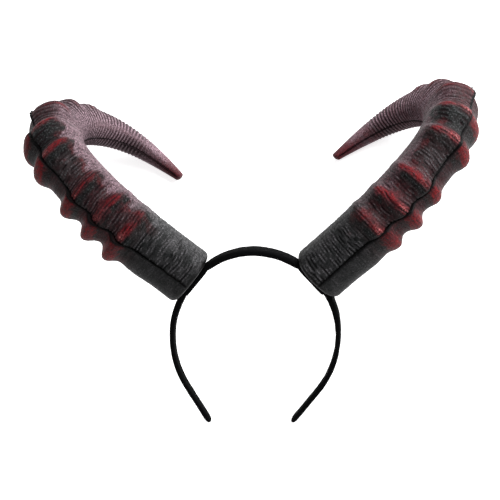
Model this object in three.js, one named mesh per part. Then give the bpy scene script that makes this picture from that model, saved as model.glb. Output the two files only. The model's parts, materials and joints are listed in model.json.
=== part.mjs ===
// Horned costume headband: a cloth-covered band with two ridged foam horns that curl backwards.
// Millimetres. It is built as worn (X across the head, Y to the back, Z up, the middle of the
// band's crown at the origin) and then laid on its back, as it is put down on a table.
import * as THREE from 'three';

const { degToRad, lerp, clamp, smoothstep } = THREE.MathUtils;

// Clearance between pieces that touch
const GAP = 0.3;

// Headband: a strip with bevelled edges, widest at the crown. From seat to seat its outer face stands
// higher by the rise, which fades out below the seats.
const BAND = { thickness: 4.2, crownWidth: 11.5, tipWidth: 7.5, bevel: 1.1, rise: 1.2, riseFade: 45 };

// One half of the band's centre line, from the crown down to a tip. A stretch with a radius is an
// arc that turns inwards (degrees on the left and on the right), and one without is straight
// (millimetres). The free ends are bent by hand, the right one further in than the left.
const BAND_HALF = [
  { name: 'crown', radius: 57, left: 36, right: 36, steps: 3.5 },
  { name: 'upper bend', radius: 15, left: 13, right: 13, steps: 2 },
  { name: 'horn seat', left: 30, right: 28, steps: 1 },
  { name: 'lower bend', radius: 15, left: 9, right: 18, steps: 2 },
  { name: 'side', radius: 72, left: 25, right: 25, steps: 3 },
  { name: 'arm', radius: 85, left: 33, right: 37, steps: 4 },
  { name: 'end', left: 29, right: 29, steps: 1 },
];
const BAND_TIP = [
  { reach: 3, share: 0.84 },
  { reach: 5, share: 0.55 },
];
// Distance from the start of a seat's straight to the middle of its horn
const SEAT_MIDDLE = 14;

// Seat patch: a strip on the head side of the band, under each horn
const PATCH = { length: 26, width: 9.5, thickness: 1, corner: 3 };

// Horn sections along its centre line: how fast it bends (degrees for each millimetre), and the
// half sizes of its rounded section in the plane of the curl (depth) and across it (breadth)
const HORN_SECTIONS = [
  { at: 0, bend: 0.02, depth: 20.3, breadth: 22.6 },
  { at: 58, bend: 0.17, depth: 19.2, breadth: 21.9 },
  { at: 114, bend: 0.4, depth: 19.4, breadth: 20.4 },
  { at: 158, bend: 1.28, depth: 20.3, breadth: 19.3 },
  { at: 181, bend: 1.21, depth: 19.9, breadth: 18.3 },
  { at: 222, bend: 1.03, depth: 16.1, breadth: 14.7 },
  { at: 266, bend: 0.75, depth: 9.4, breadth: 9.9 },
  { at: 314, bend: 0.51, depth: 2.6, breadth: 2.4 },
];
const HORN_LENGTH = HORN_SECTIONS.at(-1).at;

// Growth ridges: rolls that stand proud on the outside of the curl
const RIDGES = [
  { at: 64, height: 4.7 },
  { at: 85, height: 4.9 },
  { at: 107, height: 4.2 },
  { at: 137.5, height: 4.3 },
  { at: 158, height: 4.2 },
  { at: 181, height: 5.3 },
  { at: 203, height: 3.2 },
  { at: 221, height: 1.8 },
];
const RIDGE = { halfWidth: 7.3, fullTo: 60, goneAt: 113 };

const HORN = {
  wall: 3,              // pressed foam
  squareness: 2.3,      // exponent of the section's superellipse, 2 for an ellipse
  drift: 21,            // sideways shift of the tip, towards the middle of the head
  baseEdge: 5,          // rounding of the edge of the base
  footBlend: 30,        // the base is flat on its seat, and the shaft's slant fades in over this
  hollowEnd: 276,       // the tip is solid from here on
  tipDome: 1.6,
  ringStep: 5.6,
  outerFacets: 11,
  innerFacets: 4,
};

// How each horn is set on its seat (degrees): lean to the back, splay away from the head and twist
// of the curl about the shaft, and how far its tip sways further inwards (mm). They are pressed
// and glued on by hand, so the two differ a little.
const HORNS = [
  { name: 'left', side: -1, lean: 3.1, splay: 1, twist: -0.8, sway: -2 },
  { name: 'right', side: 1, lean: 6.6, splay: 1.8, twist: 6.9, sway: 4 },
];

const FINISH = {
  foam: new THREE.MeshStandardMaterial({ color: 0x35292b, roughness: 0.62, metalness: 0 }),
  cloth: new THREE.MeshStandardMaterial({ color: 0x121215, roughness: 0.85, metalness: 0 }),
  patch: new THREE.MeshStandardMaterial({ color: 0x0d0d0f, roughness: 0.95, metalness: 0 }),
};

// A closed mesh from vertices and triangles, turned so that its faces point outwards
function closedGeometry(points, triangles) {
  const volume = triangles.reduce((sum, [a, b, c]) => {
    const [p, q, r] = [points[a], points[b], points[c]];
    return sum + p.dot(new THREE.Vector3().crossVectors(q, r)) / 6;
  }, 0);
  const facing = volume > 0 ? triangles : triangles.map(([a, b, c]) => [a, c, b]);
  const geometry = new THREE.BufferGeometry().setFromPoints(points);
  geometry.setIndex(facing.flat());
  geometry.computeVertexNormals();
  return geometry;
}

// The two triangles between neighbouring points of two rows, without those of no size
function quad(a, b, c, d) {
  return [[a, b, c], [a, c, d]].filter(([p, q, r]) => p !== q && q !== r && r !== p);
}

// A column of a table at any place along it, as a smooth curve through the rows
function columnCurve(rows, column) {
  const slopes = rows.map((row, i) => {
    const before = rows[Math.max(i - 1, 0)];
    const after = rows[Math.min(i + 1, rows.length - 1)];
    return (after[column] - before[column]) / (after.at - before.at);
  });
  return (at) => {
    const i = clamp(rows.findIndex((row) => row.at > at) - 1, 0, rows.length - 2);
    const last = at >= rows.at(-1).at ? rows.length - 2 : i;
    const [a, b] = [rows[last], rows[last + 1]];
    const span = b.at - a.at;
    const u = (at - a.at) / span;
    const rise = u * u * (3 - 2 * u);
    return lerp(a[column], b[column], rise)
      + span * slopes[last] * u * (1 - u) ** 2 - span * slopes[last + 1] * u * u * (1 - u);
  };
}

// Headband

// Stations along one half of the centre line, each with its place, its heading (degrees below the
// horizontal, going to the right) and its distance from the crown
function halfStations(side) {
  const stations = [];
  let place = new THREE.Vector2(0, 0);
  let heading = 0;
  let distance = 0;
  for (const stretch of BAND_HALF) {
    const step = stretch[side] / stretch.steps;
    const turn = stretch.radius ? step : 0;
    const chord = stretch.radius ? 2 * stretch.radius * Math.sin(degToRad(turn / 2)) : step;
    // The crown starts with half a step, so that one flat facet lies across the middle
    let stepsLeft = stretch.steps;
    while (stepsLeft > 0) {
      const share = stepsLeft % 1 || 1;
      const middle = degToRad(heading + share * turn / 2);
      const ahead = new THREE.Vector2(Math.cos(middle), -Math.sin(middle));
      place = place.clone().add(ahead.multiplyScalar(share * chord));
      heading += share * turn;
      distance += share * chord;
      stations.push({ stretch: stretch.name, place, heading, distance });
      stepsLeft -= share;
    }
  }
  return stations;
}

// Stations of the whole centre line, from the left tip to the right one
function bandStations() {
  const mirrored = halfStations('left').map((station) => ({
    ...station,
    place: new THREE.Vector2(-station.place.x, station.place.y),
    heading: -station.heading,
  }));
  return [...mirrored.reverse(), ...halfStations('right')];
}

// Outline of the strip's section as [outward, back] pairs
function bandSection(width, rise, share) {
  const t = BAND.thickness / 2 * share;
  const top = t + rise * share;
  const w = width / 2 * share;
  const b = BAND.bevel * share;
  return [
    [top, b - w], [top, w - b], [top - b, w], [b - t, w],
    [-t, w - b], [-t, b - w], [b - t, -w], [top - b, -w],
  ];
}

function headbandGeometry() {
  const stations = bandStations();
  const reach = stations.at(-1).distance;
  const seatEnd = stations.findLast((s) => s.stretch === 'horn seat').distance;
  const rings = stations.map((s) => ({ ...s, share: 1 }));
  for (const tip of BAND_TIP) {
    for (const [end, way] of [[rings[0], -1], [rings.at(-1), 1]]) {
      const base = way < 0 ? stations[0] : stations.at(-1);
      const heading = degToRad(end.heading);
      const along = new THREE.Vector2(Math.cos(heading), -Math.sin(heading)).multiplyScalar(way * tip.reach);
      const ring = { ...base, place: along.add(base.place), share: tip.share };
      rings.splice(way < 0 ? 0 : rings.length, 0, ring);
    }
  }
  const points = [];
  for (const ring of rings) {
    const heading = degToRad(ring.heading);
    const out = new THREE.Vector2(Math.sin(heading), Math.cos(heading));
    const width = lerp(BAND.crownWidth, BAND.tipWidth, ring.distance / reach);
    const rise = BAND.rise * (1 - smoothstep(ring.distance, seatEnd, seatEnd + BAND.riseFade));
    for (const [outward, back] of bandSection(width, rise, ring.share)) {
      points.push(new THREE.Vector3(ring.place.x + out.x * outward, back, ring.place.y + out.y * outward));
    }
  }
  const n = bandSection(1, 0, 1).length;
  const triangles = [];
  for (let i = 0; i + 1 < rings.length; i++) {
    for (let j = 0; j < n; j++) {
      const next = (j + 1) % n;
      triangles.push(...quad(i * n + j, i * n + next, (i + 1) * n + next, (i + 1) * n + j));
    }
  }
  const lastRing = (rings.length - 1) * n;
  for (let j = 1; j + 1 < n; j++) {
    triangles.push([0, j + 1, j], [lastRing, lastRing + j, lastRing + j + 1]);
  }
  return closedGeometry(points, triangles);
}

// A group on the band's flat under a horn: its Z leaves the head, its Y points to the back
function seatGroup(side) {
  const stations = bandStations();
  const end = stations.findLastIndex((s) => s.stretch === 'horn seat');
  const { place, heading } = stations[end - 1];
  const slant = degToRad(heading);
  const middle = new THREE.Vector2(Math.cos(slant), -Math.sin(slant)).multiplyScalar(SEAT_MIDDLE).add(place);
  const group = new THREE.Group();
  group.position.set(side * middle.x, 0, middle.y);
  group.rotation.y = side * slant;
  return group;
}

// Seat patch: a thin strip with rounded corners
function patchGeometry() {
  const [x, y, r] = [PATCH.length / 2, PATCH.width / 2, PATCH.corner];
  const outline = new THREE.Shape();
  outline.absarc(x - r, y - r, r, 0, Math.PI / 2);
  outline.absarc(r - x, y - r, r, Math.PI / 2, Math.PI);
  outline.absarc(r - x, r - y, r, Math.PI, Math.PI * 1.5);
  outline.absarc(x - r, r - y, r, Math.PI * 1.5, Math.PI * 2);
  return new THREE.ExtrudeGeometry(outline, { depth: PATCH.thickness, bevelEnabled: false, curveSegments: 3 });
}

// Horns

const hornDepth = columnCurve(HORN_SECTIONS, 'depth');
const hornBreadth = columnCurve(HORN_SECTIONS, 'breadth');

// How far the ridges stand proud of the shaft at a place along it
function ridgeHeight(at) {
  return RIDGES.reduce((sum, ridge) => {
    const away = (at - ridge.at) / RIDGE.halfWidth;
    return sum + ridge.height * Math.exp(-away * away);
  }, 0);
}

// Centre line in the plane of the curl, walked in small steps: height above the seat (z), reach
// to the back (y) and the angle turned so far, at every millimetre
const hornCentre = [{ y: 0, z: 0, turned: 0 }];
for (let at = 0; at < HORN_LENGTH; at++) {
  const here = hornCentre.at(-1);
  const row = HORN_SECTIONS.findLast((section) => section.at <= at);
  const next = HORN_SECTIONS[HORN_SECTIONS.indexOf(row) + 1];
  const bend = lerp(row.bend, next.bend, (at + 0.5 - row.at) / (next.at - row.at));
  const middle = here.turned + degToRad(bend) / 2;
  hornCentre.push({
    y: here.y + Math.sin(middle),
    z: here.z + Math.cos(middle),
    turned: here.turned + degToRad(bend),
  });
}

// A place on the centre line of an upright horn. Its drift out of the plane of the curl grows
// slowly towards the tip, and its sway only near the end.
function centreAt(horn, at) {
  const i = clamp(Math.floor(at), 0, HORN_LENGTH - 1);
  const [a, b] = [hornCentre[i], hornCentre[i + 1]];
  const u = at - i;
  const share = at / HORN_LENGTH;
  const x = -HORN.drift * share ** 2 - horn.sway * share ** 6;
  return { x, y: lerp(a.y, b.y, u), z: lerp(a.z, b.z, u), turned: lerp(a.turned, b.turned, u) };
}

// A point of a horn's skin on its seat. The angle runs round one half from the seam on the outside
// of the curl (0) to the seam on the inside (180 degrees), half is 1 for the half that faces away
// from the head and -1 for the other, inset is the distance inside the plain skin, and the ridges
// stand on the outer skin alone.
function skinPoint(horn, half, at, angle, inset, ridged) {
  const { x, y, z, turned } = centreAt(horn, at);
  const depth = hornDepth(at) - inset;
  const breadth = hornBreadth(at) - inset;
  const fade = 1 - smoothstep(THREE.MathUtils.radToDeg(angle), RIDGE.fullTo, RIDGE.goneAt);
  const grow = ridged ? 1 + ridgeHeight(at) * fade / depth : 1;
  const power = 2 / HORN.squareness;
  const c = Math.cos(angle);
  const outwards = Math.sign(c) * Math.abs(c) ** power * depth * grow;
  const sideways = GAP / 2 + Math.abs(Math.sin(angle)) ** power * (breadth * grow - GAP / 2);
  const upright = new THREE.Vector3(
    x + half * sideways,
    y - Math.cos(turned) * outwards,
    z + Math.sin(turned) * outwards,
  );
  return onSeat(horn, upright);
}

// Leans, splays and twists a point of an upright horn, keeps its foot flat, and mirrors the left one
function onSeat(horn, upright) {
  const angles = [-horn.lean, horn.splay, horn.twist].map(degToRad);
  const turn = new THREE.Euler(...angles, 'XYZ');
  const foot = new THREE.Vector3(upright.x, upright.y, 0).applyEuler(turn);
  const point = upright.clone().applyEuler(turn);
  point.z -= foot.z * (1 - smoothstep(upright.z, 0, HORN.footBlend));
  point.x *= horn.side;
  return point;
}

// Places of the rings: evenly spaced from each ridge's crest to the next, so every crest has a ring
function ringPlaces() {
  const start = BAND.rise + HORN.baseEdge;
  const anchors = [start, ...RIDGES.map((ridge) => ridge.at), HORN_LENGTH];
  const places = [start];
  for (let i = 0; i + 1 < anchors.length; i++) {
    const span = anchors[i + 1] - anchors[i];
    const steps = Math.round(span / HORN.ringStep);
    for (let k = 1; k <= steps; k++) {
      places.push(anchors[i] + span * k / steps);
    }
  }
  return places;
}

// One half of a horn: an outer skin and an inner one, each a row of half rings closed by a point at
// both ends, joined by a flat rim along the seam
function hornHalfGeometry(horn, half) {
  const edge = HORN.baseEdge;
  const corner = edge * (1 - Math.SQRT1_2);
  const base = BAND.rise;
  const outerRings = [
    { at: base, inset: edge },
    { at: base + corner, inset: corner },
    ...ringPlaces().map((at) => ({ at, inset: 0 })),
  ];
  const count = outerRings.length;
  const innerRings = outerRings.map((ring, i) => ({
    at: lerp(base + HORN.wall, HORN.hollowEnd, i / (count - 1)),
    inset: HORN.wall,
  }));
  const points = [];
  const triangles = [];

  function addSkin(rings, facets, ridged, start, end) {
    const rows = rings.map(({ at, inset }) => {
      const row = [];
      for (let j = 0; j <= facets; j++) {
        row.push(points.push(skinPoint(horn, half, at, Math.PI * j / facets, inset, ridged)) - 1);
      }
      return row;
    });
    const [first, last] = [start, end].map((point) => {
      const index = points.push(onSeat(horn, point)) - 1;
      return new Array(facets + 1).fill(index);
    });
    return [first, ...rows, last];
  }

  function poleAt(at, beyond) {
    const { x, y, z, turned } = centreAt(horn, at);
    const seamX = x + half * GAP / 2;
    return new THREE.Vector3(seamX, y + beyond * Math.sin(turned), z + beyond * Math.cos(turned));
  }

  const hornTip = poleAt(HORN_LENGTH, HORN.tipDome);
  const hollowTip = poleAt(HORN.hollowEnd, HORN.wall);
  const outer = addSkin(outerRings, HORN.outerFacets, true, poleAt(base, 0), hornTip);
  const inner = addSkin(innerRings, HORN.innerFacets, false, poleAt(base + HORN.wall, 0), hollowTip);
  for (let i = 0; i + 1 < outer.length; i++) {
    for (let j = 0; j < HORN.outerFacets; j++) {
      triangles.push(...quad(outer[i][j], outer[i][j + 1], outer[i + 1][j + 1], outer[i + 1][j]));
    }
    for (let j = 0; j < HORN.innerFacets; j++) {
      triangles.push(...quad(inner[i][j], inner[i + 1][j], inner[i + 1][j + 1], inner[i][j + 1]));
    }
    triangles.push(...quad(outer[i][0], outer[i + 1][0], inner[i + 1][0], inner[i][0]));
    triangles.push(...quad(outer[i].at(-1), inner[i].at(-1), inner[i + 1].at(-1), outer[i + 1].at(-1)));
  }
  return closedGeometry(points, triangles);
}

// Assembly, as worn

function namedMesh(name, geometry, material) {
  const mesh = new THREE.Mesh(geometry, material);
  mesh.name = name;
  return mesh;
}

const worn = new THREE.Group();
worn.add(namedMesh('headband', headbandGeometry(), FINISH.cloth));

for (const horn of HORNS) {
  const seat = seatGroup(horn.side);
  const patch = namedMesh(`${horn.name}_seat_patch`, patchGeometry(), FINISH.patch);
  patch.position.z = -BAND.thickness / 2 - GAP - PATCH.thickness;
  const outerHalf = namedMesh(`${horn.name}_horn_outer_half`, hornHalfGeometry(horn, 1), FINISH.foam);
  const innerHalf = namedMesh(`${horn.name}_horn_inner_half`, hornHalfGeometry(horn, -1), FINISH.foam);
  for (const halfMesh of [outerHalf, innerHalf]) {
    halfMesh.position.z = BAND.thickness / 2 + GAP;
  }
  seat.add(patch, outerHalf, innerHalf);
  worn.add(seat);
}

// Laid down: it rests on the backs of both horns and on the ends of the band

// Corners of the meshes whose names start with a word, as worn
function cornersOf(word) {
  const corners = [];
  worn.updateMatrixWorld(true);
  worn.traverse((node) => {
    if (node.isMesh && node.name.startsWith(word)) {
      const position = node.geometry.getAttribute('position');
      for (let i = 0; i < position.count; i++) {
        corners.push(new THREE.Vector3().fromBufferAttribute(position, i).applyMatrix4(node.matrixWorld));
      }
    }
  });
  return corners;
}

// The value between low and high where a rising function passes zero
function crossing(low, high, rising) {
  for (let i = 0; i < 40; i++) {
    const middle = (low + high) / 2;
    if (rising(middle) > 0) {
      high = middle;
    } else {
      low = middle;
    }
  }
  return (low + high) / 2;
}

function layDown(group) {
  const [left, right, band] = ['left_horn', 'right_horn', 'headband'].map(cornersOf);
  const lowest = (corners, pitch, roll) => {
    const turn = new THREE.Euler(degToRad(pitch), degToRad(roll), 0, 'XYZ');
    return corners.reduce((low, corner) => Math.min(low, corner.clone().applyEuler(turn).z), Infinity);
  };
  let pitch = -60;
  let roll = 0;
  for (let pass = 0; pass < 4; pass++) {
    const lowestHorn = (p) => Math.min(lowest(left, p, roll), lowest(right, p, roll));
    pitch = crossing(-85, -30, (p) => lowestHorn(p) - lowest(band, p, roll));
    roll = crossing(-10, 10, (r) => lowest(left, pitch, r) - lowest(right, pitch, r));
  }
  group.rotation.set(degToRad(pitch), degToRad(roll), 0);
  const box = new THREE.Box3().setFromObject(group, true);
  const centre = box.getCenter(new THREE.Vector3());
  group.position.sub(new THREE.Vector3(centre.x, centre.y, box.min.z));
}

layDown(worn);
const part = new THREE.Group();
part.add(worn);

export default part;
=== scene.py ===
# %% [markdown]
# # A horned costume headband
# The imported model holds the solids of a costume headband: a bent band, two pads under it and two
# horns, each made of two foam half shells. This lesson gives every piece its fine surface and its
# finish. The solids stay where they are, and each new surface stands in for one of them.

# %% Load the frame
import json

import bpy
import numpy as np
from mathutils import Matrix, Vector


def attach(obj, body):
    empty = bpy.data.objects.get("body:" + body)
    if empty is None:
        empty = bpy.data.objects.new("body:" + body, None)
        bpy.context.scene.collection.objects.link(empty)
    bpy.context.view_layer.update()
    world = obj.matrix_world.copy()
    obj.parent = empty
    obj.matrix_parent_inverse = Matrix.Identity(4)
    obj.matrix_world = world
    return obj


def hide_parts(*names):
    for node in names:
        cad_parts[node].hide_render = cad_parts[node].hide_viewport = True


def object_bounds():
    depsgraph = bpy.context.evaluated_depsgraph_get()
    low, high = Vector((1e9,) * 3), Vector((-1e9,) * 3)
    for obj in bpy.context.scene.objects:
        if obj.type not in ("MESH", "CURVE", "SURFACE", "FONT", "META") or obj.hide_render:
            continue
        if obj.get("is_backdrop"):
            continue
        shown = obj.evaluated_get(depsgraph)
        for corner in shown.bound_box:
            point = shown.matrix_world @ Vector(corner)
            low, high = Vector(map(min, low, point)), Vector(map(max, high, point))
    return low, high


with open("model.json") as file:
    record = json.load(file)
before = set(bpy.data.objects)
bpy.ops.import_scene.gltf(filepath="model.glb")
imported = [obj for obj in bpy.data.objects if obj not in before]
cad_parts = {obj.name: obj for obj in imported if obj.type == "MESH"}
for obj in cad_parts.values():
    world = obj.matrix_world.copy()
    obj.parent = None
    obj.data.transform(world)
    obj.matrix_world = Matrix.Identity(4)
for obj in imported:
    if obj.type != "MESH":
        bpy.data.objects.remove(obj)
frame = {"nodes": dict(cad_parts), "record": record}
cad_low, cad_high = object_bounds()
print("solids:", ", ".join(sorted(frame["nodes"])))

# %% [markdown]
# ## The worn frame and the table
# A headband is measured as it is worn: x across the head, y to the back, z up, and the middle of
# the crown at zero. The part itself lies on its back on a table. Typing in where every piece went
# would be possible, but the record already names a spot on the inside of the crown, with its place
# and the way it faces. Two angles and one offset follow from that, and carry any worn point over.
# All tables here are in millimetres, and MM turns them into Blender's metres.

# %% From the worn frame to the table
MM = 0.001
# height of that spot in the worn frame
CROWN_FACET = -2.32


def turn(axis, degrees):
    """The 3 x 3 matrix that turns points about the x, y or z axis."""
    return np.array(Matrix.Rotation(np.radians(degrees), 3, axis))


crown = frame["record"]["mounts"][0]
worn_up = -np.array(crown["axis"])
lying_pitch = np.degrees(np.arctan2(-worn_up[1], worn_up[2]))
lying_roll = np.degrees(np.arcsin(worn_up[0]))
LYING = turn("X", lying_pitch) @ turn("Y", lying_roll)
LYING_AT = np.array(crown["pos_m"]) / MM - LYING @ (0, 0, CROWN_FACET)


def to_table(worn):
    """Worn points, in the last axis of an array, as points on the table in metres."""
    return (worn @ LYING.T + LYING_AT) * MM


print(f"laid down: pitch {lying_pitch:.2f}, roll {lying_roll:.2f} degrees")

# %% [markdown]
# ## Helpers for surfaces
# Every piece below is a grid of points worked out by a formula, and a grid becomes a mesh in the
# same way each time: two triangles for each cell, with the points of a pole drawn together into
# one. Blender's own noise can't be read from Python arrays, so a small lattice noise stands in.

# %% Helpers: grid cells, smooth steps and noise
def cells(grid):
    """Two triangles for each cell of a grid of point numbers."""
    a, b, c, d = grid[:-1, :-1], grid[:-1, 1:], grid[1:, 1:], grid[1:, :-1]
    halves = [np.stack(corners, -1).reshape(-1, 3) for corners in ((a, b, c), (a, c, d))]
    return np.concatenate(halves)


def tube_cells(rows, columns):
    """Triangles of a grid that closes round on itself and has a pole at either end: first with the
    points that coincide drawn together, for the mesh, and then without, for its UV map."""
    numbers = np.arange(rows * columns).reshape(rows, columns)
    closed = numbers.copy()
    closed[:, -1] = closed[:, 0]
    closed[0], closed[-1] = closed[0, 0], closed[-1, 0]
    return cells(closed), cells(numbers)


def rise(x, start, end):
    """A smooth step: 0 up to start, 1 from end on, and 3u^2 - 2u^3 between them."""
    u = np.clip((x - start) / (end - start), 0, 1)
    return u * u * (3 - 2 * u)


def bell(x, width):
    """A bell curve, exp(-(x / width)^2)."""
    return np.exp(-((x / width) ** 2))


def superellipse(angle, squareness):
    """The cosine and sine of an angle, drawn out towards the corners of a square."""
    c, s = np.cos(angle), np.sin(angle)
    power = 2 / squareness
    return np.sign(c) * np.abs(c) ** power, np.sign(s) * np.abs(s) ** power


NOISE_SIZE = 128


def soft_noise(u, v, seed):
    """Smooth noise from -1 to 1: random numbers on the corners of unit squares, blended between."""
    corners = np.random.default_rng(seed).uniform(-1, 1, (NOISE_SIZE, NOISE_SIZE))
    u, v = np.broadcast_arrays(u, v)
    i, j = np.floor(u).astype(int), np.floor(v).astype(int)
    s, t = rise(u - i, 0, 1), rise(v - j, 0, 1)

    def corner(di, dj):
        """The random number on one corner of each place's square."""
        return corners[(i + di) % NOISE_SIZE, (j + dj) % NOISE_SIZE]

    near = corner(0, 0) * (1 - s) + corner(1, 0) * s
    far = corner(0, 1) * (1 - s) + corner(1, 1) * s
    return near * (1 - t) + far * t


print("noise at one place:", float(soft_noise(0.5, 0.5, 1)))

# %% [markdown]
# A finished piece is a mesh with a place in the model, a material slot and the solid that it stands
# in for. Points could be added one by one, but a horn has tens of thousands of them, so whole arrays
# are handed over with foreach_set. UV maps are in centimetres, so that a pattern keeps its real size.

# %% Helper: arrays to a piece
SHARP_EDGE = 55
CENTIMETRE = 10


def make_piece(name, points, faces, uv, uv_faces, layers, slot, node):
    """A mesh of worn points and triangles that stands in for a solid. Triangles that a pole has
    drawn flat are dropped, and all are turned round if the volume they close is negative. A layer
    holds one number for each point, and uv two for each number in uv_faces."""
    whole = (faces != np.roll(faces, 1, axis=1)).all(axis=1)
    used, faces = np.unique(faces[whole], return_inverse=True)
    faces, uv_faces = faces.reshape(-1, 3), uv_faces[whole]
    place = to_table(points[used])
    a, b, c = place[faces].transpose(1, 0, 2)
    if np.sum(a * np.cross(b, c)) < 0:
        faces, uv_faces = faces[:, ::-1], uv_faces[:, ::-1]
    mesh = bpy.data.meshes.new(name)
    mesh.vertices.add(len(place))
    mesh.loops.add(faces.size)
    mesh.polygons.add(len(faces))
    mesh.vertices.foreach_set("co", place.ravel())
    mesh.loops.foreach_set("vertex_index", faces.ravel())
    mesh.polygons.foreach_set("loop_start", np.arange(0, faces.size, 3))
    mesh.update(calc_edges=True)
    mesh.uv_layers.new(name="surface").data.foreach_set("uv", uv[uv_faces.ravel()].ravel())
    for layer, values in layers.items():
        attribute = mesh.attributes.new(layer, "FLOAT", "POINT")
        attribute.data.foreach_set("value", values[used].astype(np.float32))
    mesh.shade_smooth()
    mesh.set_sharp_from_angle(angle=np.radians(SHARP_EDGE))
    piece = bpy.data.objects.new(name, mesh)
    bpy.context.scene.collection.objects.link(piece)
    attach(piece, "root")
    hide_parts(node)
    print(f"{name}: {len(place)} points, {len(faces)} triangles")
    return piece


# %% [markdown]
# ## The headband
# The band is a thin core with black cloth wrapped round it. Its centre line is a row of arcs and
# straights from the crown down to each tip, the same ones as in the solid, so it can be walked
# with sines and cosines instead of fitting a curve by eye. The free ends are bent by hand, and the
# right one turns in further than the left.

# %% The band's centre line
BAND_STEP = 1.0
# name, radius of an arc, then its turn on the left and on the right (degrees). A stretch without
# a radius is straight, and the same columns hold its length.
BAND_HALF = [
    ("crown", 57, 36, 36),
    ("upper bend", 15, 13, 13),
    ("horn seat", 0, 30, 28),
    ("lower bend", 15, 9, 18),
    ("side", 72, 25, 25),
    ("arm", 85, 33, 37),
    ("end", 0, 29, 29),
]


def band_half(side):
    """Stations from the crown to one tip, as rows of x, z, heading below the horizontal (radians)
    and distance, with the station where the horn seat starts. An arc of radius R that starts at
    the heading h0 passes (R (sin h - sin h0), R (cos h - cos h0)) from its start."""
    rows, seat = [np.zeros((1, 4))], None
    for name, radius, left, right in BAND_HALF:
        x, z, start, distance = rows[-1][-1]
        size = left if side < 0 else right
        bend = np.radians(size) if radius else 0
        length = radius * bend or size
        t = np.linspace(0, 1, int(np.ceil(length / BAND_STEP)) + 1)[1:]
        heading = start + bend * t
        if name == "horn seat":
            seat = rows[-1][-1]
        if radius:
            x = x + radius * (np.sin(heading) - np.sin(start))
            z = z + radius * (np.cos(heading) - np.cos(start))
        else:
            x = x + length * t * np.cos(start)
            z = z - length * t * np.sin(start)
        rows.append(np.stack([x, z, heading, distance + length * t], -1))
    return np.concatenate(rows), seat


right_half, SEAT_START = band_half(1)
left_half, _ = band_half(-1)
BAND_REACH = right_half[-1, 3]
print(f"band: {left_half[-1, 3] + BAND_REACH:.0f} mm from tip to tip")

# %% [markdown]
# The section of the band is a superellipse, a rectangle whose corners the cloth has rounded. It
# narrows from the crown to the tips and closes there in a short dome. Its outer face stands a little
# higher from seat to seat, where it carries the horns, and its inside gives way to the felt there.
# Cloth that is pulled round a core is never quite even, so a faint noise lifts it, and its edge shows
# as a low fold on the inside, where it is glued down. A curve with a bevel would give a plain strap
# faster, but its section could only grow or shrink along the way.

# %% The band's surface
BAND_CROWN_WIDTH = 11.5
BAND_TIP_WIDTH = 7.5
BAND_INSIDE = 2.1
BAND_OUTSIDE = 2.1
BAND_RISE, RISE_FADE = 1.2, 45
BAND_SQUARENESS = 3.6
BAND_DOME, DOME_POWER = 6.0, 0.8
BAND_DOME_ROWS = 14
BAND_COLUMNS = 56
CLOTH_UNEVEN = 0.1
# length along the band of the long and of the short puckers (mm), and how finely they change round it
LONG_PUCKER, SHORT_PUCKER = (9, 2), (3, 3)
FOLD = {"height": 0.22, "width": 0.18}
SEAT_LENGTH = 28
# how far the pad is let into the band, at the upper and at the lower end of each seat, and how far
# outside and inside the seat's ends that starts
LET_IN = {-1: (1.5, 1.5), 1: (1.5, 0.3)}
LET_IN_BEFORE, LET_IN_AFTER = 4, 1


def let_in(x, side):
    """How far the inside of the band gives way at x along a seat, from its middle: a straight slope
    from one end to the other, with a smooth step at both."""
    start, end = LET_IN[side]
    half = SEAT_LENGTH / 2
    into = rise(x, -half - LET_IN_BEFORE, -half + LET_IN_AFTER)
    ends = into * (1 - rise(x, half - LET_IN_AFTER, half + LET_IN_BEFORE))
    return (start + (end - start) * np.clip(x / SEAT_LENGTH + 0.5, 0, 1)) * ends


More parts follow.
